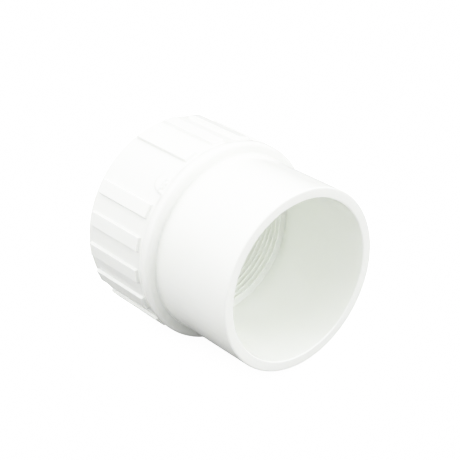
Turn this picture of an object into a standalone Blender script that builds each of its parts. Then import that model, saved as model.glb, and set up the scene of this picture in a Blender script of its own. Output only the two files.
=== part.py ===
"""Female adapter for 2 inch schedule 40 pipe: one moulding in white PVC.

One end is a smooth, slightly tapered socket that a pipe is cemented into, and the other end is a
hub with a tapered female pipe thread and raised grip ribs. The fitting lies on its side: the bore
runs along X, the socket's mouth faces +X and +Z is up. The origin is on the ground, under the
middle of the fitting's box.

The fitting is first turned about its own Z axis, with the threaded end at z = 0 and the mouth at
the top, and is then laid down.
"""
import math

import bmesh
import bpy
from mathutils import Matrix

MM = 0.001

# The whole fitting
LENGTH = 74.0 * MM
TURNED_STEPS = 72

# The barrel and its socket. The socket's two radii are the standard ones for a 2 inch pipe.
MOUTH_RADIUS = 34.2 * MM
BARREL_FOOT_RADIUS = 34.0 * MM
SOCKET_MOUTH_RADIUS = 30.32 * MM
SOCKET_STOP_RADIUS = 30.09 * MM
SOCKET_DEPTH = 40.7 * MM
RIM_ROUND = 0.45 * MM
RIM_BEVEL = 0.5 * MM

# The shoulder, where the barrel meets the hub: a fillet, a rounded bead and the bead's back slope
SHOULDER_DEPTH = 37.8 * MM
SHOULDER_FILLET = 1.2 * MM
BEAD_RADIUS = 37.9 * MM
BEAD_ROUND = 2.4 * MM
BEAD_FOOT_DEPTH = 43.5 * MM

# The hub
HUB_FRONT_RADIUS = 37.15 * MM
HUB_END_RADIUS = 37.0 * MM
HUB_END_ROUND = 0.9 * MM

# The grip ribs stand in evenly spaced places, of which the gate's place is left out.
RIB_PLACES = 19
GATE_PLACE = 2
RIB_WIDTH = 5.3 * MM
RIB_OUTER_RADIUS = 38.1 * MM
RIB_FRONT_DEPTH = 44.0 * MM
RIB_END_DEPTH = 72.0 * MM
RIB_ROOT_RADIUS = 35.5 * MM

# The stub that the mould's gate leaves, close behind the shoulder
GATE_WIDTH = 8.6 * MM
GATE_FRONT_DEPTH = 41.0 * MM
GATE_END_DEPTH = 49.5 * MM
GATE_HEIGHT = 0.35 * MM

# The thread: 2 inch taper pipe thread, 11.5 turns to the inch, 1 in 16 on the diameter. The
# radius is that of the thread's crests at the end face, and they close in with the depth.
THREAD_PITCH = 25.4 / 11.5 * MM
THREAD_TAPER = 1.0 / 32.0
THREAD_CREST_RADIUS = 28.28 * MM
THREAD_HEIGHT = 1.6 * MM
THREAD_FLANK_ANGLE = math.radians(30.0)
THREAD_STEPS = 36
THREAD_END_ANGLE = math.radians(140.0)
THREAD_RUN_OUT_STEPS = 9
THREAD_LIP = 1.05 * MM
COUNTERSINK_RADIUS = 30.6 * MM

# Cutters run past what they cut, and their roots are buried in each other, by these amounts.
CUTTER_PAST = 3.0 * MM
RIDGE_ROOT = 0.4 * MM
RIDGE_FOOT = 0.05 * MM

# Corners closer than this are one corner, where the edges of two cutters cross.
WELD = 0.002 * MM

PVC_COLOUR = (0.86, 0.86, 0.84, 1.0)
PVC_ROUGHNESS = 0.34

LEDGE_Z = LENGTH - SOCKET_DEPTH


def arc(centre, radius, start, end, steps):
    """Points on an arc in the profile plane, both ends included, with its angles in degrees."""
    points = []
    for step in range(steps + 1):
        angle = math.radians(start + (end - start) * step / steps)
        points.append((centre[0] + radius * math.cos(angle), centre[1] + radius * math.sin(angle)))
    return points


def slope(start, end, steps):
    """Points on a smooth S-shaped slope from start to end, without the start itself."""
    points = []
    for step in range(1, steps + 1):
        share = step / steps
        ease = 0.5 - 0.5 * math.cos(math.pi * share)
        points.append((start[0] + (end[0] - start[0]) * ease, start[1] + (end[1] - start[1]) * share))
    return points


def crest_radius(z):
    """The radius of the thread's crests at a height above the end face."""
    return THREAD_CREST_RADIUS - THREAD_TAPER * z


def adapter_profile():
    """The closed outline of the wall: down the outside from the rim, and up the bore."""
    shoulder_z = LENGTH - SHOULDER_DEPTH
    bead_z = shoulder_z - BEAD_ROUND
    bore_radius = crest_radius(LEDGE_Z) - 1.0 * MM
    outline = arc((MOUTH_RADIUS - RIM_ROUND, LENGTH - RIM_ROUND), RIM_ROUND, 90, 0, 2)
    fillet_centre = (BARREL_FOOT_RADIUS + SHOULDER_FILLET, shoulder_z + SHOULDER_FILLET)
    outline += arc(fillet_centre, SHOULDER_FILLET, 180, 270, 3)
    outline += arc((BEAD_RADIUS - BEAD_ROUND, bead_z), BEAD_ROUND, 90, 0, 5)
    outline += slope((BEAD_RADIUS, bead_z), (HUB_FRONT_RADIUS, LENGTH - BEAD_FOOT_DEPTH), 4)
    outline += arc((HUB_END_RADIUS - HUB_END_ROUND, HUB_END_ROUND), HUB_END_ROUND, 0, -90, 2)
    outline += [
        (bore_radius, 0.0),
        (bore_radius, LEDGE_Z),
        (SOCKET_STOP_RADIUS, LEDGE_Z),
        (SOCKET_MOUTH_RADIUS, LENGTH - RIM_BEVEL),
        (SOCKET_MOUTH_RADIUS + RIM_BEVEL, LENGTH),
    ]
    return outline


def core_profile():
    """The outline of the thread's smooth core, from its inner end to past the end face."""
    sink_depth = COUNTERSINK_RADIUS - THREAD_CREST_RADIUS
    inner_z = LEDGE_Z + CUTTER_PAST
    return [
        (0.0, inner_z),
        (crest_radius(inner_z), inner_z),
        (crest_radius(sink_depth), sink_depth),
        (COUNTERSINK_RADIUS, 0.0),
        (COUNTERSINK_RADIUS + CUTTER_PAST, -CUTTER_PAST),
        (0.0, -CUTTER_PAST),
    ]


def new_object(name, mesh, collection):
    """An object for the mesh, linked to the collection."""
    thing = bpy.data.objects.new(name, mesh)
    collection.objects.link(thing)
    return thing


def turned(name, outline, steps, closed, collection):
    """A solid of revolution about Z: the outline is drawn at +X and swept by a Screw modifier."""
    bm = bmesh.new()
    corners = [bm.verts.new((radius, 0.0, z)) for radius, z in outline]
    for first, second in zip(corners, corners[1:]):
        bm.edges.new((first, second))
    if closed:
        bm.edges.new((corners[-1], corners[0]))
    mesh = bpy.data.meshes.new(name)
    bm.to_mesh(mesh)
    bm.free()
    thing = new_object(name, mesh, collection)
    screw = thing.modifiers.new("Turn", "SCREW")
    screw.axis = "Z"
    screw.angle = math.tau
    screw.steps = steps
    screw.render_steps = steps
    screw.use_merge_vertices = True
    screw.merge_threshold = 0.00001
    return thing


def cutter(thing):
    """Marks an object as a construction aid that isn't part of the fitting."""
    thing.hide_render = True
    thing.display_type = "WIRE"
    return thing


def pad_blocks(name, angles, width, inner_radius, outer_radius, low_z, high_z, collection):
    """Blocks that stand out radially at the given angles, all in one mesh."""
    bm = bmesh.new()
    size = Matrix.Diagonal((outer_radius - inner_radius, width, high_z - low_z, 1.0))
    place = Matrix.Translation(((inner_radius + outer_radius) / 2.0, 0.0, (low_z + high_z) / 2.0))
    for angle in angles:
        bmesh.ops.create_cube(bm, size=1.0, matrix=Matrix.Rotation(angle, 4, "Z") @ place @ size)
    mesh = bpy.data.meshes.new(name)
    bm.to_mesh(mesh)
    bm.free()
    return new_object(name, mesh, collection)


def thread_ridge(name, collection):
    """The helical ridge of the tap: its outside is the thread's groove, and its root is buried.

    It starts past the end face and runs out close to the ledge, where its height shrinks to nothing.
    """
    root_half_width = THREAD_PITCH / 4.0 - THREAD_HEIGHT * math.tan(THREAD_FLANK_ANGLE) / 2.0
    foot_half_width = root_half_width + (THREAD_HEIGHT + RIDGE_FOOT) * math.tan(THREAD_FLANK_ANGLE)
    end_z = LEDGE_Z - THREAD_LIP
    steps = math.ceil((end_z / THREAD_PITCH + 1.0) * THREAD_STEPS)
    bm = bmesh.new()
    rings = []
    for step in range(steps + 1):
        turns_left = (steps - step) / THREAD_STEPS
        angle = THREAD_END_ANGLE - math.tau * turns_left
        z = end_z - THREAD_PITCH * turns_left
        share = min(1.0, (steps - step) / THREAD_RUN_OUT_STEPS)
        height = THREAD_HEIGHT * share - 0.8 * RIDGE_FOOT * (1.0 - share)
        section = [
            (height, root_half_width),
            (-RIDGE_FOOT, foot_half_width),
            (-RIDGE_ROOT, foot_half_width),
            (-RIDGE_ROOT, -foot_half_width),
            (-RIDGE_FOOT, -foot_half_width),
            (height, -root_half_width),
        ]
        ring = []
        for out, along in section:
            radius = crest_radius(z) + out
            ring.append(bm.verts.new((radius * math.cos(angle), radius * math.sin(angle), z + along)))
        rings.append(ring)
    for ring, following in zip(rings, rings[1:]):
        for corner in range(len(ring)):
            after = (corner + 1) % len(ring)
            bm.faces.new((ring[corner], ring[after], following[after], following[corner]))
    bm.faces.new(rings[0])
    bm.faces.new(rings[-1])
    bmesh.ops.recalc_face_normals(bm, faces=bm.faces)
    mesh = bpy.data.meshes.new(name)
    bm.to_mesh(mesh)
    bm.free()
    return new_object(name, mesh, collection)


def combine(thing, operation, other):
    """Adds a Boolean modifier that joins the other object to this one or cuts it away."""
    boolean = thing.modifiers.new(other.name, "BOOLEAN")
    boolean.operation = operation
    boolean.solver = "EXACT"
    boolean.object = other


def pvc_material():
    """Plain white rigid PVC."""
    material = bpy.data.materials.new("white_pvc")
    material.use_nodes = True
    shader = material.node_tree.nodes["Principled BSDF"]
    shader.inputs["Base Color"].default_value = PVC_COLOUR
    shader.inputs["Roughness"].default_value = PVC_ROUGHNESS
    shader.inputs["Metallic"].default_value = 0.0
    return material


def finished(blank, name, collection):
    """The blank with its modifiers worked out, as a smooth-shaded object of its own."""
    evaluated = blank.evaluated_get(bpy.context.evaluated_depsgraph_get())
    mesh = bpy.data.meshes.new_from_object(evaluated)
    mesh.name = name
    bm = bmesh.new()
    bm.from_mesh(mesh)
    bmesh.ops.remove_doubles(bm, verts=bm.verts, dist=WELD)
    bm.to_mesh(mesh)
    bm.free()
    mesh.shade_smooth()
    mesh.set_sharp_from_angle(angle=math.radians(35.0))
    bpy.data.objects.remove(blank)
    return new_object(name, mesh, collection)


def main():
    for thing in list(bpy.data.objects):
        bpy.data.objects.remove(thing)
    parts = bpy.data.collections.new("female_adapter")
    aids = bpy.data.collections.new("cutters")
    for collection in (parts, aids):
        bpy.context.scene.collection.children.link(collection)

    # Place 0 is on top when the fitting lies down, and the places go round towards -Y.
    place_angles = [math.pi + math.tau * place / RIB_PLACES for place in range(RIB_PLACES)]
    rib_angles = place_angles[:GATE_PLACE] + place_angles[GATE_PLACE + 1:]

    blank = turned("adapter_blank", adapter_profile(), TURNED_STEPS, True, aids)
    ribs = pad_blocks(
        "rib_blocks", rib_angles, RIB_WIDTH, RIB_ROOT_RADIUS, RIB_OUTER_RADIUS,
        LENGTH - RIB_END_DEPTH, LENGTH - RIB_FRONT_DEPTH, aids)
    gate = pad_blocks(
        "gate_stub", [place_angles[GATE_PLACE]], GATE_WIDTH, RIB_ROOT_RADIUS,
        HUB_FRONT_RADIUS + GATE_HEIGHT, LENGTH - GATE_END_DEPTH, LENGTH - GATE_FRONT_DEPTH, aids)
    core = turned("thread_core", core_profile(), THREAD_STEPS, False, aids)
    ridge = thread_ridge("thread_ridge", aids)
    for aid in (ribs, gate, core, ridge):
        cutter(aid)
    combine(blank, "UNION", ribs)
    combine(blank, "UNION", gate)
    combine(blank, "DIFFERENCE", core)
    combine(blank, "DIFFERENCE", ridge)

    body = finished(blank, "adapter_body", parts)
    body.data.materials.clear()
    body.data.materials.append(pvc_material())
    body.rotation_euler = (0.0, math.pi / 2.0, 0.0)
    lowest = min(-corner.co.x for corner in body.data.vertices)
    body.location = (-LENGTH / 2.0, 0.0, -lowest)


main()
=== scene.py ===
"""The looks of a white PVC female adapter: the fine surface, its material, the studio and the camera.

The fitting lies on its side, as in the CAD: the bore runs along X and the socket's mouth faces +X.
A point of the surface is given by its depth behind the mouth, its radius from the bore's axis, and
its angle round the axis from the top, towards -Y.
"""

import math

import bpy
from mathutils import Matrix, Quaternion, Vector, noise


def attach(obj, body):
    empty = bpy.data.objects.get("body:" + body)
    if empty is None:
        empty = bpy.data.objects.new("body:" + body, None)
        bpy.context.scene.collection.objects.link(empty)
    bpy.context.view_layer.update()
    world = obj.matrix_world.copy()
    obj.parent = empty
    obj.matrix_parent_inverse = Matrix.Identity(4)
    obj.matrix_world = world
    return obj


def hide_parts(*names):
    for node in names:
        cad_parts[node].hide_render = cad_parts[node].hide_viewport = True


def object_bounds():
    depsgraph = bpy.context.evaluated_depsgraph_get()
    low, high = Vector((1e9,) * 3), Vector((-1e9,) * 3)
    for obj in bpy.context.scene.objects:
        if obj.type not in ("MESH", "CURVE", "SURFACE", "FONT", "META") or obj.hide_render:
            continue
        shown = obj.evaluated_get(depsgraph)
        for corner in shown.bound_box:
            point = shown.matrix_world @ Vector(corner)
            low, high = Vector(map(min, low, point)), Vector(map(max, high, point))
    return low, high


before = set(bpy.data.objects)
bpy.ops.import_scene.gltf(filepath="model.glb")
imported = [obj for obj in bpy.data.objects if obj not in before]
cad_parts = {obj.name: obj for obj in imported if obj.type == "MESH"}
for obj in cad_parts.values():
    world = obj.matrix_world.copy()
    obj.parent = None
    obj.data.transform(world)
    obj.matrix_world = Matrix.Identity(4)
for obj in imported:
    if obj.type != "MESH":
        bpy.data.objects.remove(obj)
cad_low, cad_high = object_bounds()

MM = 0.001

# The barrel, its socket and the rim. The main sizes are the CAD's, the edges are finer.
LENGTH = cad_high.x - cad_low.x
MOUTH_RADIUS = 34.2 * MM
MOUTH_ROUND = 0.6 * MM
BARREL_FOOT_RADIUS = 34.0 * MM
BARREL_FOOT_FILLET = 0.6 * MM
SOCKET_MOUTH_RADIUS = 30.32 * MM
SOCKET_STOP_RADIUS = 30.09 * MM
SOCKET_DEPTH = 40.7 * MM
RIM_BEVEL = 0.3 * MM
RIM_BEVEL_ROUND = 0.15 * MM
LEDGE_LIP = 0.2 * MM
LEDGE_FILLET = 0.4 * MM

# The shoulder and the hub
SHOULDER_DEPTH = 37.8 * MM
BEAD_RADIUS = 37.9 * MM
BEAD_FRONT_ROUND = 1.6 * MM
BEAD_CREST_DEPTH = 40.7 * MM
BEAD_CREST_ROUND = 3.5 * MM
BEAD_FOOT_DEPTH = 42.7 * MM
BEAD_FOOT_FILLET = 2.5 * MM
HUB_FRONT_RADIUS = 37.15 * MM
HUB_END_RADIUS = 37.0 * MM
HUB_END_ROUND = 0.9 * MM

# The grip ribs, evenly spaced, with the gate's place left out
RIB_PLACES = 19
GATE_PLACE = 2
RIB_WIDTH = 5.3 * MM
RIB_OUTER_RADIUS = 38.1 * MM
RIB_FRONT_DEPTH = 44.0 * MM
RIB_END_DEPTH = 72.0 * MM
RIB_WALL = 0.5 * MM

# The mark that the mould's gate leaves: a low D-shaped pad behind the shoulder, dished and tilted,
# with a torn scar on it. The pad's shares are of its size or height, the scar's reach is in its half
# sizes, and its level and swing are shares of its height.
GATE_PAD_DEPTH = 42.4 * MM
GATE_PAD_LENGTH = 7.2 * MM
GATE_PAD_HALF_WIDTH = 4.6 * MM
GATE_PAD_OFFSET = 1.0 * MM
GATE_PAD_HEIGHT = 0.45 * MM
GATE_PAD_LEAD = 0.12 * GATE_PAD_LENGTH
GATE_PAD_EDGE_SHARE = 0.2
GATE_PAD_TILT_SHARE = 0.35
GATE_PAD_DISH_SHARE = 0.4
GATE_PAD_DISH_STEEPNESS = 1.6
GATE_SCAR_DEPTH = 43.9 * MM
GATE_SCAR_OFFSET = 1.8 * MM
GATE_SCAR_HALF_LENGTH = 3.2 * MM
GATE_SCAR_HALF_WIDTH = 1.0 * MM
GATE_SCAR_REACH = 1.5
GATE_SCAR_HEIGHT = 0.9 * MM
GATE_SCAR_GRAIN = 1.1 * MM
GATE_SCAR_LEVEL = 0.45
GATE_SCAR_SWING = 0.9

# The thread: 11.5 turns to the inch, 1 in 16 on the diameter. Half a flat is a share of the pitch,
# the rounding a share of the flank's shape, and the run-out a share of a turn.
THREAD_PITCH = 25.4 / 11.5 * MM
THREAD_TAPER = 1.0 / 32.0
THREAD_CREST_RADIUS = 28.28 * MM
THREAD_HEIGHT = 0.8 * THREAD_PITCH
THREAD_FLAT = 0.04
THREAD_ROUNDING = 0.4
THREAD_END_ANGLE = math.radians(-40.0)
THREAD_LIP = 1.05 * MM
THREAD_RUN_OUT = 0.25
COUNTERSINK_RADIUS = 30.6 * MM
COUNTERSINK_DEPTH = 0.6 * MM
COUNTERSINK_ROUND = 0.2 * MM

# How finely the surface is divided. The columns on and beside a rib are shares of its width from
# its middle, and the outermost ones of a place are shares of half the place. A face's edge is as
# wide as the strip that goes with the turned outline, and the thread's rows start behind the ledge.
RIB_TOP_COLUMNS = (0.22, 0.4)
RIB_SIDE_COLUMNS = (0.65, 0.85)
RIB_LAST_COLUMN = 0.92
GATE_LAST_COLUMN = 0.96
GATE_COLUMNS = 40
GATE_ROWS = 26
GATE_ROWS_AHEAD = 1.2 * MM
GATE_ROWS_BEHIND = 0.4 * MM
WALL_CROWDING = 0.8
BARREL_ROWS = 9
BARREL_ROWS_START = 1.5 * MM
HUB_ROWS = 7
THREAD_ROWS = 10
BORE_STEPS = 240
END_FACE_EDGE = 1.0 * MM
SINK_FACE_EDGE = 0.8 * MM
RIM_FACE_EDGE = 0.5 * MM
THREAD_ROWS_START = LEDGE_LIP + 0.15 * MM

MOUTH_X = cad_high.x
AXIS_Z = cad_high.z - RIB_OUTER_RADIUS
THREAD_LENGTH = LENGTH - SOCKET_DEPTH


def eased(share):
    """A smooth step from 0 to 1."""
    share = min(1.0, max(0.0, share))
    return share ** 3 * (10.0 - 15.0 * share + 6.0 * share ** 2)


def rounded(corners, step_angle=math.radians(11.0)):
    """The outline through the corners (radius, depth, rounding), each one rounded by an arc."""
    points = []
    for before, corner, after in zip([None] + corners[:-1], corners, corners[1:] + [None]):
        here = Vector(corner[:2])
        if before is None or after is None or corner[2] == 0.0:
            points.append(here)
            continue
        inward = (Vector(before[:2]) - here).normalized()
        onward = (Vector(after[:2]) - here).normalized()
        turn = math.pi - inward.angle(onward)
        reach = corner[2] * math.tan(turn / 2.0)
        centre = here + (inward + onward).normalized() * (corner[2] / math.cos(turn / 2.0))
        # The arc's points are its two ends, weighed against each other and seen from its centre
        first = here + inward * reach - centre
        last = here + onward * reach - centre
        steps = max(2, math.ceil(turn / step_angle))
        for step in range(steps + 1):
            share = step / steps
            weight_first = math.sin((1.0 - share) * turn) / math.sin(turn)
            weight_last = math.sin(share * turn) / math.sin(turn)
            points.append(centre + first * weight_first + last * weight_last)
    return [(point.x, point.y) for point in points]


def with_rows(outline, depths, least=0.03 * MM):
    """The outline, which runs to greater depths, with more points on it at the given depths."""
    points = [outline[0]]
    for following in outline[1:]:
        radius, start = points[-1]
        next_radius, end = following
        for depth in sorted(depths):
            if points[-1][1] + least < depth < end - least:
                share = (depth - start) / (end - start)
                points.append((radius + (next_radius - radius) * share, depth))
        points.append(following)
    return points


def spread(start, end, steps):
    """Evenly spaced values from start to end, both included."""
    return [start + (end - start) * step / steps for step in range(steps + 1)]


def wall_values(middle, steps=6):
    """Places across one wall of a rib, closer together on its roundings than on its face."""
    values = []
    for share in spread(-1.0, 1.0, steps):
        values.append(middle + RIB_WALL / 2.0 * math.copysign(abs(share) ** WALL_CROWDING, share))
    return values


def hub_columns():
    """The angles of the fine columns round the outside, each with its rib's place and offset."""
    pitch = math.tau / RIB_PLACES
    half_place = pitch * HUB_END_RADIUS / 2.0
    side = [RIB_WIDTH * share for share in RIB_TOP_COLUMNS]
    side += wall_values(RIB_WIDTH / 2.0)
    side += [RIB_WIDTH * share for share in RIB_SIDE_COLUMNS]
    side.append(half_place * RIB_LAST_COLUMN)
    rib_offsets = [-offset for offset in reversed(side)] + [0.0] + side
    gate_reach = half_place * GATE_LAST_COLUMN
    gate_offsets = spread(-gate_reach, gate_reach, GATE_COLUMNS)
    columns = []
    for place in range(RIB_PLACES):
        for offset in (gate_offsets if place == GATE_PLACE else rib_offsets):
            columns.append((place * pitch + offset / HUB_END_RADIUS, place, offset))
    return columns


def rib_share(offset, depth):
    """How far a point of the hub is raised towards the rib's outer radius."""
    side = eased((RIB_WIDTH / 2.0 + RIB_WALL / 2.0 - abs(offset)) / RIB_WALL)
    front = eased((depth - RIB_FRONT_DEPTH + RIB_WALL / 2.0) / RIB_WALL)
    end = eased((RIB_END_DEPTH + RIB_WALL / 2.0 - depth) / RIB_WALL)
    return side * front * end


def gate_rise(offset, depth):
    """How far the gate's mark stands above the hub at a point of its place."""
    across = offset - GATE_PAD_OFFSET
    behind = depth - GATE_PAD_DEPTH
    inside = 1.0 - math.hypot(max(0.0, behind) / GATE_PAD_LENGTH, across / GATE_PAD_HALF_WIDTH)
    edge = eased(inside / GATE_PAD_EDGE_SHARE) * eased(1.0 + behind / GATE_PAD_LEAD)
    tilt = 1.0 - GATE_PAD_TILT_SHARE * (1.0 - across / GATE_PAD_HALF_WIDTH)
    dish = 1.0 - GATE_PAD_DISH_SHARE * eased(GATE_PAD_DISH_STEEPNESS * inside)
    from_scar = math.hypot(
        (offset - GATE_SCAR_OFFSET) / GATE_SCAR_HALF_LENGTH,
        (depth - GATE_SCAR_DEPTH) / GATE_SCAR_HALF_WIDTH)
    grain = noise.noise(Vector((offset, depth, 0.0)) / GATE_SCAR_GRAIN)
    torn = (GATE_SCAR_LEVEL + GATE_SCAR_SWING * grain) * eased(GATE_SCAR_REACH - from_scar)
    return edge * (GATE_PAD_HEIGHT * tilt * dish + GATE_SCAR_HEIGHT * torn)


def outside_radius(base, depth, column):
    """The radius of the outside at a depth, where the plain wall has the radius base."""
    _, place, offset = column
    if place == GATE_PLACE:
        return base + gate_rise(offset, depth)
    share = rib_share(offset, depth)
    if share == 0.0:
        return base
    flat_top = RIB_OUTER_RADIUS / math.cos(offset / HUB_END_RADIUS)
    return base + share * (flat_top - base)


def bore_radius(height, angle):
    """The radius of the threaded bore at a height above the end face, countersink included."""
    crest = THREAD_CREST_RADIUS - THREAD_TAPER * height
    # The groove ends at THREAD_END_ANGLE. Its nearest turn passes here turn + back turns before that.
    back = (THREAD_END_ANGLE - angle) % math.tau / math.tau
    behind = (THREAD_LENGTH - THREAD_LIP - height) / THREAD_PITCH - back
    turn = round(behind)
    # From 0 on the crest to 1 at the root
    flank = (0.5 - THREAD_FLAT - abs(behind - turn)) / (0.5 - 2.0 * THREAD_FLAT)
    flank = min(1.0, max(0.0, flank))
    groove = (1.0 - THREAD_ROUNDING) * flank + THREAD_ROUNDING * eased(flank)
    groove *= eased((turn + back) / THREAD_RUN_OUT)
    return max(crest + THREAD_HEIGHT * groove, COUNTERSINK_RADIUS - height)


class Skin:
    """Vertices and faces of the closed surface, as they are added ring by ring."""

    def __init__(self):
        self.vertices = []
        self.faces = []

    def point(self, radius, depth, angle):
        """Adds a vertex and returns its number."""
        self.vertices.append((
            MOUTH_X - depth, -radius * math.sin(angle), AXIS_Z + radius * math.cos(angle)))
        return len(self.vertices) - 1

    def ring(self, angles, radius, depth):
        """Adds a ring of vertices and returns their numbers."""
        return [self.point(radius, depth, angle) for angle in angles]

    def face(self, corners):
        """Adds a face, unless its corners run together."""
        corners = list(dict.fromkeys(corners))
        if len(corners) > 2:
            self.faces.append(corners)

    def join(self, rings):
        """Joins each ring to the next one, which has the same number of vertices."""
        for ring, following in zip(rings, rings[1:]):
            for index in range(len(ring)):
                self.face((ring[index], ring[index - 1], following[index - 1], following[index]))

    def stitch(self, ring, angles, following, following_angles):
        """Joins two rings whose vertices stand at different angles, with triangles."""
        start = angles[0]
        steps = sorted(
            [((angle - start) % math.tau, 0, number) for angle, number in zip(angles, ring)]
            + [((angle - start) % math.tau, 1, number)
               for angle, number in zip(following_angles, following)])
        current = [None, None]
        for _, side, number in steps:
            current[side] = number
        for _, side, number in steps:
            self.face((number, current[0], current[1]))
            current[side] = number


def outside_rings(skin, columns):
    """The outside, from the rim's flat over the barrel, the shoulder and the hub to the end face."""
    outline = rounded([
        (MOUTH_RADIUS - END_FACE_EDGE, 0.0, 0.0),
        (MOUTH_RADIUS, 0.0, MOUTH_ROUND),
        (BARREL_FOOT_RADIUS, SHOULDER_DEPTH, BARREL_FOOT_FILLET),
        (BEAD_RADIUS, SHOULDER_DEPTH, BEAD_FRONT_ROUND),
        (BEAD_RADIUS, BEAD_CREST_DEPTH, BEAD_CREST_ROUND),
        (HUB_FRONT_RADIUS, BEAD_FOOT_DEPTH, BEAD_FOOT_FILLET),
        (HUB_END_RADIUS, LENGTH, HUB_END_ROUND),
        (HUB_END_RADIUS - END_FACE_EDGE, LENGTH, 0.0),
    ])
    gate_end = GATE_PAD_DEPTH + GATE_PAD_LENGTH
    depths = wall_values(RIB_FRONT_DEPTH) + wall_values(RIB_END_DEPTH)
    depths += spread(GATE_PAD_DEPTH - GATE_ROWS_AHEAD, gate_end + GATE_ROWS_BEHIND, GATE_ROWS)
    depths += spread(BARREL_ROWS_START, SHOULDER_DEPTH, BARREL_ROWS)
    depths += spread(RIB_FRONT_DEPTH, RIB_END_DEPTH, HUB_ROWS)
    rings = []
    for radius, depth in with_rows(outline, depths):
        rings.append([
            skin.point(outside_radius(radius, depth, column), depth, column[0])
            for column in columns])
    return rings


def countersink_rings(skin, angles):
    """The inner edge of the end face and the countersink, down to where the thread's rows start."""
    outline = rounded([
        (COUNTERSINK_RADIUS + SINK_FACE_EDGE, LENGTH, 0.0),
        (COUNTERSINK_RADIUS, LENGTH, COUNTERSINK_ROUND),
        (COUNTERSINK_RADIUS - COUNTERSINK_DEPTH, LENGTH - COUNTERSINK_DEPTH, 0.0),
    ])
    return [skin.ring(angles, radius, depth) for radius, depth in outline]


def socket_rings(skin, angles):
    """The ledge, the socket's wall and the rim's inner edge, from the thread's rows to the rim."""
    crest_at_ledge = THREAD_CREST_RADIUS - THREAD_TAPER * THREAD_LENGTH
    outline = rounded([
        (crest_at_ledge, SOCKET_DEPTH + THREAD_ROWS_START, 0.0),
        (crest_at_ledge, SOCKET_DEPTH, LEDGE_LIP),
        (SOCKET_STOP_RADIUS, SOCKET_DEPTH, LEDGE_FILLET),
        (SOCKET_MOUTH_RADIUS, RIM_BEVEL, RIM_BEVEL_ROUND),
        (SOCKET_MOUTH_RADIUS + RIM_BEVEL, 0.0, RIM_BEVEL_ROUND),
        (SOCKET_MOUTH_RADIUS + RIM_BEVEL + RIM_FACE_EDGE, 0.0, 0.0),
    ])
    return [skin.ring(angles, radius, depth) for radius, depth in outline]


def threaded_bore(skin, angles, low, low_height, high, high_height):
    """The threaded bore from the ring low up to the ring high: its rows follow the helix."""
    thread_top = THREAD_LENGTH - THREAD_LIP
    row_height = THREAD_PITCH / THREAD_ROWS
    too_close = row_height / 4.0
    numbers = {}

    def number(column, row):
        """The vertex in a column and a row. A row past either ring ends on the ring."""
        if column == BORE_STEPS:  # a full turn of the helix, which is one pitch up
            column = 0
            row += THREAD_ROWS
        height = thread_top + THREAD_PITCH * (column / BORE_STEPS - 1.0) + row_height * (row + 0.5)
        if height < low_height + too_close:
            return low[column]
        if height > high_height - too_close:
            return high[column]
        if (column, row) not in numbers:
            radius = bore_radius(height, angles[column])
            numbers[column, row] = skin.point(radius, LENGTH - height, angles[column])
        return numbers[column, row]

    first_row = -math.ceil(thread_top / row_height) - 1
    last_row = THREAD_ROWS + math.ceil(THREAD_LIP / row_height) + 1
    for column in range(BORE_STEPS):
        for row in range(first_row, last_row):
            skin.face((
                number(column + 1, row), number(column, row),
                number(column, row + 1), number(column + 1, row + 1)))


def adapter_mesh():
    """The whole closed surface: down the outside, across the end face, and up the bore."""
    skin = Skin()
    columns = hub_columns()
    outside_angles = [column[0] for column in columns]
    bore_angles = [THREAD_END_ANGLE + math.tau * step / BORE_STEPS for step in range(BORE_STEPS)]

    outside = outside_rings(skin, columns)
    sink = countersink_rings(skin, bore_angles)
    socket = socket_rings(skin, bore_angles)
    for rings in (outside, sink, socket):
        skin.join(rings)
    threaded_bore(
        skin, bore_angles, sink[-1], COUNTERSINK_DEPTH,
        socket[0], THREAD_LENGTH - THREAD_ROWS_START)
    skin.stitch(outside[-1], outside_angles, sink[0], bore_angles)
    skin.stitch(socket[-1], bore_angles, outside[0], outside_angles)

    mesh = bpy.data.meshes.new("adapter_body_fine")
    mesh.from_pydata(skin.vertices, [], skin.faces)
    mesh.validate()
    mesh.shade_smooth()
    return mesh


# The plastic's colour and finish. A grain is the width of a blotch or a mark, a depth its relief.
PVC_TONE = (0.925, 0.940, 0.907, 1.0)
PVC_DEEP_TONE = (0.912, 0.928, 0.890, 1.0)
CLOUD_SHARE = 0.7
PIGMENT_SHARE = 0.3
PVC_IOR = 1.53
SUBSURFACE_WEIGHT = 0.25
SUBSURFACE_RADIUS = (1.0, 1.0, 0.9)
SUBSURFACE_SCALE = 2.0 * MM
ROUGHNESS = 0.19
ROUGHNESS_SWING = 0.02
DRAW_ROUGHNESS = 0.01
RUB_ROUGHNESS = 0.03
BLUSH_ROUGHNESS = 0.012
BLUSH_INNER_RADIUS = 3.0 * MM
BLUSH_OUTER_RADIUS = 11.0 * MM
CLOUD_GRAIN = 16.0 * MM
PIGMENT_GRAIN = 0.5 * MM
WAVE_GRAIN = 14.0 * MM
WAVE_DEPTH = 0.05 * MM
PEEL_GRAIN = 0.9 * MM
PEEL_DEPTH = 0.004 * MM
DRAW_STRETCH = (0.04, 1.0, 1.0)
DRAW_GRAIN = 0.7 * MM
DRAW_DEPTH = 0.003 * MM
TURNING_GRAIN = 0.25 * MM
TURNING_DEPTH = 0.004 * MM
RUB_STRETCH = (1.0, 0.35, 0.35)
RUB_GRAIN = 5.0 * MM

# The part of a noise's range that holds nearly all of it, and the part that makes a few rubs
NOISE_RANGE = (0.3, 0.7)
RUB_RANGE = (0.58, 0.72)

# How squarely a face looks along the bore where its turning marks begin, and where they are full
TURNING_RANGE = (0.9, 0.99)


def principled(material):
    """The shader of a new node material."""
    return material.node_tree.nodes["Principled BSDF"]


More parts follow.
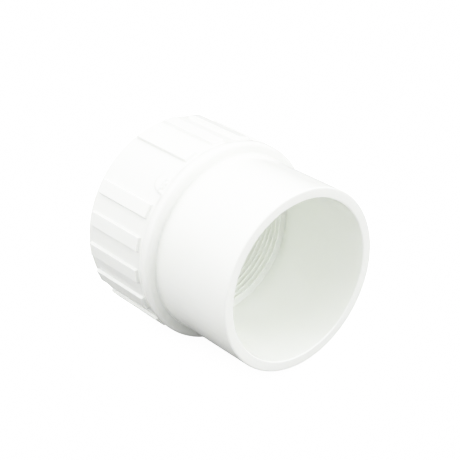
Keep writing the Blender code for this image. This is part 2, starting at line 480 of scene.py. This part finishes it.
def scaled(tree, vector, factors):
    """The vector times a factor for each axis."""
    node = tree.nodes.new("ShaderNodeVectorMath")
    node.operation = "MULTIPLY"
    node.inputs[1].default_value = factors
    tree.links.new(vector, node.inputs[0])
    return node.outputs["Vector"]


def noise_field(tree, place, grain, detail=2.0):
    """Noise from 0 to 1 whose blotches are about one grain wide."""
    node = tree.nodes.new("ShaderNodeTexNoise")
    node.inputs["Scale"].default_value = 1.0 / grain
    node.inputs["Detail"].default_value = detail
    tree.links.new(place, node.inputs["Vector"])
    return node.outputs["Fac"]


def math_node(tree, operation, first, second):
    """A sum, a product and the like of a socket and a socket or number."""
    node = tree.nodes.new("ShaderNodeMath")
    node.operation = operation
    tree.links.new(first, node.inputs[0])
    if isinstance(second, float):
        node.inputs[1].default_value = second
    else:
        tree.links.new(second, node.inputs[1])
    return node.outputs["Value"]


def ranged(tree, value, old_range, low, high):
    """The value, carried smoothly from its old range to the one from low to high."""
    node = tree.nodes.new("ShaderNodeMapRange")
    node.interpolation_type = "SMOOTHSTEP"
    node.inputs["From Min"].default_value = old_range[0]
    node.inputs["From Max"].default_value = old_range[1]
    node.inputs["To Min"].default_value = low
    node.inputs["To Max"].default_value = high
    tree.links.new(value, node.inputs["Value"])
    return node.outputs["Result"]


def bumped(tree, height, depth, normal=None):
    """A surface normal for relief of the given depth."""
    node = tree.nodes.new("ShaderNodeBump")
    node.inputs["Distance"].default_value = depth
    tree.links.new(height, node.inputs["Height"])
    if normal is not None:
        tree.links.new(normal, node.inputs["Normal"])
    return node.outputs["Normal"]


def gate_distance(tree, place):
    """The distance from the middle of the gate's mark."""
    angle = GATE_PLACE * math.tau / RIB_PLACES + GATE_PAD_OFFSET / HUB_END_RADIUS
    node = tree.nodes.new("ShaderNodeVectorMath")
    node.operation = "DISTANCE"
    node.inputs[1].default_value = (
        MOUTH_X - GATE_PAD_DEPTH, -HUB_FRONT_RADIUS * math.sin(angle),
        AXIS_Z + HUB_FRONT_RADIUS * math.cos(angle))
    tree.links.new(place, node.inputs[0])
    return node.outputs["Value"]


def turning_marks(tree, place, normal):
    """Fine rings on the faces that look along the bore, left by the lathe that cut the mould."""
    from_axis = tree.nodes.new("ShaderNodeVectorMath")
    from_axis.operation = "DISTANCE"
    from_axis.inputs[1].default_value = (0.0, 0.0, AXIS_Z)
    tree.links.new(scaled(tree, place, (0.0, 1.0, 1.0)), from_axis.inputs[0])
    rings = tree.nodes.new("ShaderNodeTexNoise")
    rings.noise_dimensions = "1D"
    rings.inputs["Scale"].default_value = 1.0 / TURNING_GRAIN
    tree.links.new(from_axis.outputs["Value"], rings.inputs["W"])
    along = tree.nodes.new("ShaderNodeSeparateXYZ")
    tree.links.new(normal, along.inputs["Vector"])
    squareness = math_node(tree, "ABSOLUTE", along.outputs["X"], 0.0)
    flat = ranged(tree, squareness, TURNING_RANGE, 0.0, 1.0)
    return math_node(tree, "MULTIPLY", rings.outputs["Fac"], flat)


def plastic_tone(tree, place, clouds):
    """The colour: faint clouds and fine pigment between a deeper and a lighter white."""
    pigment = noise_field(tree, place, PIGMENT_GRAIN)
    cloud_part = ranged(tree, clouds, NOISE_RANGE, 0.0, CLOUD_SHARE)
    pigment_part = ranged(tree, pigment, NOISE_RANGE, 0.0, PIGMENT_SHARE)
    tone = tree.nodes.new("ShaderNodeMix")
    tone.data_type = "RGBA"
    tone.inputs["A"].default_value = PVC_DEEP_TONE
    tone.inputs["B"].default_value = PVC_TONE
    tree.links.new(math_node(tree, "ADD", cloud_part, pigment_part), tone.inputs["Factor"])
    return tone.outputs["Result"]


def plastic_roughness(tree, place, clouds, draw_marks):
    """The roughness: clouds, draw marks, rubs from handling, and a matt blush round the gate."""
    rub_noise = noise_field(tree, scaled(tree, place, RUB_STRETCH), RUB_GRAIN, detail=4.0)
    rubs = ranged(tree, rub_noise, RUB_RANGE, 0.0, RUB_ROUGHNESS)
    blush_range = (BLUSH_INNER_RADIUS, BLUSH_OUTER_RADIUS)
    blush = ranged(tree, gate_distance(tree, place), blush_range, BLUSH_ROUGHNESS, 0.0)
    draws = ranged(tree, draw_marks, NOISE_RANGE, -DRAW_ROUGHNESS, DRAW_ROUGHNESS)
    roughness = ranged(
        tree, clouds, NOISE_RANGE, ROUGHNESS - ROUGHNESS_SWING, ROUGHNESS + ROUGHNESS_SWING)
    for part in (draws, rubs, blush):
        roughness = math_node(tree, "ADD", roughness, part)
    return roughness


def plastic_relief(tree, coordinates, draw_marks):
    """The relief: waves of the mould, draw marks, turning marks and the moulding's fine texture."""
    place = coordinates.outputs["Object"]
    turnings = turning_marks(tree, place, coordinates.outputs["Normal"])
    relief = bumped(tree, noise_field(tree, place, WAVE_GRAIN, detail=1.0), WAVE_DEPTH)
    relief = bumped(tree, draw_marks, DRAW_DEPTH, relief)
    relief = bumped(tree, turnings, TURNING_DEPTH, relief)
    return bumped(tree, noise_field(tree, place, PEEL_GRAIN, detail=1.0), PEEL_DEPTH, relief)


def pvc_material():
    """White rigid PVC as it leaves the mould, semi-gloss and slightly translucent."""
    material = bpy.data.materials.new("moulded_pvc")
    material.use_nodes = True
    tree = material.node_tree
    shader = principled(material)
    shader.inputs["IOR"].default_value = PVC_IOR
    shader.inputs["Subsurface Weight"].default_value = SUBSURFACE_WEIGHT
    shader.inputs["Subsurface Radius"].default_value = SUBSURFACE_RADIUS
    shader.inputs["Subsurface Scale"].default_value = SUBSURFACE_SCALE

    coordinates = tree.nodes.new("ShaderNodeTexCoord")
    place = coordinates.outputs["Object"]
    clouds = noise_field(tree, place, CLOUD_GRAIN, detail=3.0)
    draw_marks = noise_field(tree, scaled(tree, place, DRAW_STRETCH), DRAW_GRAIN, detail=3.0)
    for value, name in (
            (plastic_tone(tree, place, clouds), "Base Color"),
            (plastic_roughness(tree, place, clouds, draw_marks), "Roughness"),
            (plastic_relief(tree, coordinates, draw_marks), "Normal")):
        tree.links.new(value, shader.inputs[name])
    return material


# The camera
CAMERA_AZIMUTH = math.radians(49.98)
CAMERA_ELEVATION = math.radians(27.50)
CAMERA_ROLL = math.radians(-0.516)
CAMERA_DISTANCE = 0.49235
CAMERA_LENS_MM = 106.305
CAMERA_SENSOR_MM = 36.0
CAMERA_AIM = Vector((-1.95, 1.08, 4.15)) * MM

# The light tent. Each glow: degrees to the camera's right, degrees up, and strength.
GLOWS = (
    (45.0, 10.0, 0.25),
    (270.0, 10.0, 0.3),
    (315.0, 10.0, 1.2),
    (0.0, 35.0, 0.55),
    (45.0, 35.0, 1.4),
    (90.0, 35.0, 2.8),
    (270.0, 35.0, 1.5),
    (180.0, 60.0, 2.1),
    (270.0, 60.0, 1.3),
)
GLOW_FALL_OFF = 6.0
DIFFUSE_BOUNCES = 12

# The rest of the studio
STAGE_ROUGHNESS = 0.8
FLOOR_COLOUR = 0.9
FLOOR_GLOW = 1.15
TABLE_COLOUR = 0.33
TABLE_DROP = 0.05 * MM
BACKDROP_GLOW = 2.1
BACKDROP_RADIUS = 2.8
BACKDROP_HEIGHT = 3.0
BACKDROP_SIDES = 64
FLOOR_HALF_SIDE = 1.1 * BACKDROP_RADIUS
END_CARD_COLOUR = 0.6
END_CARD_GLOW = 0.68
END_CARD_RADIUS = 29.0 * MM
END_CARD_GAP = 1.0 * MM
END_CARD_SIDES = 48

# The tone curve: where it starts to bend, the light that it shows as white, and its points
TONE_KNEE = 0.55
TONE_WHITE = 2.03
TONE_STEPS = 12
COMBINED_CURVE = 3


def add_camera():
    """The camera, aimed at a point given from the middle of the fitting's box."""
    data = bpy.data.cameras.new("camera")
    data.lens = CAMERA_LENS_MM
    data.sensor_width = CAMERA_SENSOR_MM
    data.clip_start = 0.01
    camera = bpy.data.objects.new("camera", data)
    bpy.context.scene.collection.objects.link(camera)
    back = Vector((
        math.sin(CAMERA_AZIMUTH) * math.cos(CAMERA_ELEVATION),
        -math.cos(CAMERA_AZIMUTH) * math.cos(CAMERA_ELEVATION),
        math.sin(CAMERA_ELEVATION)))
    camera.location = (cad_low + cad_high) / 2.0 + CAMERA_AIM + back * CAMERA_DISTANCE
    camera.rotation_mode = "QUATERNION"
    level = (-back).to_track_quat("-Z", "Y")
    camera.rotation_quaternion = level @ Quaternion((0.0, 0.0, 1.0), CAMERA_ROLL)
    bpy.context.scene.camera = camera


def stage_mesh(name, vertices, faces, colour, glow):
    """A plain matt mesh that belongs to the studio."""
    mesh = bpy.data.meshes.new(name)
    mesh.from_pydata(vertices, [], faces)
    material = bpy.data.materials.new(name)
    material.use_nodes = True
    shader = principled(material)
    shader.inputs["Base Color"].default_value = (colour, colour, colour, 1.0)
    shader.inputs["Roughness"].default_value = STAGE_ROUGHNESS
    shader.inputs["Emission Color"].default_value = (1.0, 1.0, 1.0, 1.0)
    shader.inputs["Emission Strength"].default_value = glow
    mesh.materials.append(material)
    piece = bpy.data.objects.new(name, mesh)
    bpy.context.scene.collection.objects.link(piece)
    return piece


def light_nothing(piece):
    """Keeps a studio piece from lighting or shading the others: only the camera sees it."""
    piece.visible_diffuse = False
    piece.visible_glossy = False
    piece.visible_transmission = False
    piece.visible_shadow = False


def level_square(name, height, colour, glow):
    """A level square under the studio."""
    half = FLOOR_HALF_SIDE
    corners = [
        (-half, -half, height), (half, -half, height), (half, half, height), (-half, half, height)]
    return stage_mesh(name, corners, [(0, 1, 2, 3)], colour, glow)


def add_floor():
    """A plain white floor. The light that the fitting gets from below is that of a darker table."""
    light_nothing(level_square("floor", 0.0, FLOOR_COLOUR, FLOOR_GLOW))
    level_square("table", -TABLE_DROP, TABLE_COLOUR, 0.0).visible_camera = False


def circle_points(radius, sides):
    """Evenly spaced points round a circle, as pairs."""
    angles = [math.tau * side / sides for side in range(sides)]
    return [(radius * math.cos(angle), radius * math.sin(angle)) for angle in angles]


def add_backdrop():
    """A plain pale wall round the studio."""
    circle = circle_points(BACKDROP_RADIUS, BACKDROP_SIDES)
    vertices = [(x, y, height) for height in (0.0, BACKDROP_HEIGHT) for x, y in circle]
    faces = []
    for side in range(BACKDROP_SIDES):
        following = (side + 1) % BACKDROP_SIDES
        faces.append((side, following, following + BACKDROP_SIDES, side + BACKDROP_SIDES))
    light_nothing(stage_mesh("backdrop", vertices, faces, 0.0, BACKDROP_GLOW))


def add_end_card():
    """A softly glowing card close behind the threaded end. It fills the thread with even light."""
    x = cad_low.x - END_CARD_GAP
    vertices = [(x, y, AXIS_Z + rise) for y, rise in circle_points(END_CARD_RADIUS, END_CARD_SIDES)]
    face = tuple(range(END_CARD_SIDES))
    card = stage_mesh("end_card", vertices, [face], END_CARD_COLOUR, END_CARD_GLOW)
    card.visible_camera = False


def add_light_tent():
    """Soft light from all round: a few broad glows on the sky, each one fading smoothly."""
    world = bpy.data.worlds.new("light_tent")
    world.use_nodes = True
    tree = world.node_tree
    coordinates = tree.nodes.new("ShaderNodeTexCoord")
    total = None
    for azimuth, elevation, strength in GLOWS:
        turn = CAMERA_AZIMUTH + math.radians(azimuth)
        rise = math.radians(elevation)
        facing = tree.nodes.new("ShaderNodeVectorMath")
        facing.operation = "DOT_PRODUCT"
        facing.inputs[1].default_value = (
            math.sin(turn) * math.cos(rise), -math.cos(turn) * math.cos(rise), math.sin(rise))
        tree.links.new(coordinates.outputs["Generated"], facing.inputs[0])
        glow = math_node(tree, "MAXIMUM", facing.outputs["Value"], 0.0)
        glow = math_node(tree, "POWER", glow, GLOW_FALL_OFF)
        glow = math_node(tree, "MULTIPLY", glow, strength)
        total = glow if total is None else math_node(tree, "ADD", total, glow)
    tree.links.new(total, tree.nodes["Background"].inputs["Strength"])
    tree.nodes["Background"].inputs["Color"].default_value = (1.0, 1.0, 1.0, 1.0)
    bpy.context.scene.world = world


def toned(light):
    """What the picture shows for an amount of light: the same up to a knee, then less and less."""
    if light < TONE_KNEE:
        return light
    share = (light - TONE_KNEE) / (TONE_WHITE - TONE_KNEE)
    steepness = (TONE_WHITE - TONE_KNEE) / (1.0 - TONE_KNEE)
    return TONE_KNEE + (1.0 - TONE_KNEE) * (1.0 - (1.0 - share) ** steepness)


def set_tones():
    """Rolls the highlights off softly, as a camera does, so that a white part keeps its shading."""
    view = bpy.context.scene.view_settings
    view.view_transform = "Standard"
    view.use_curve_mapping = True
    mapping = view.curve_mapping
    mapping.white_level = (TONE_WHITE, TONE_WHITE, TONE_WHITE)
    points = mapping.curves[COMBINED_CURVE].points
    for step in range(1, TONE_STEPS):
        share = step / TONE_STEPS
        points.new(share, toned(share * TONE_WHITE))
    mapping.update()


def add_fitting():
    """The fitting itself: one closed fine piece, which stands for the CAD's one node."""
    body = bpy.data.objects.new("adapter_body_fine", adapter_mesh())
    bpy.context.scene.collection.objects.link(body)
    body.data.materials.append(pvc_material())
    body.modifiers.new("Even shading", "WEIGHTED_NORMAL")
    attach(body, "root")
    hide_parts("adapter_body")


add_fitting()
add_camera()
add_floor()
add_backdrop()
add_end_card()
add_light_tent()
set_tones()
bpy.context.scene.cycles.diffuse_bounces = DIFFUSE_BOUNCES
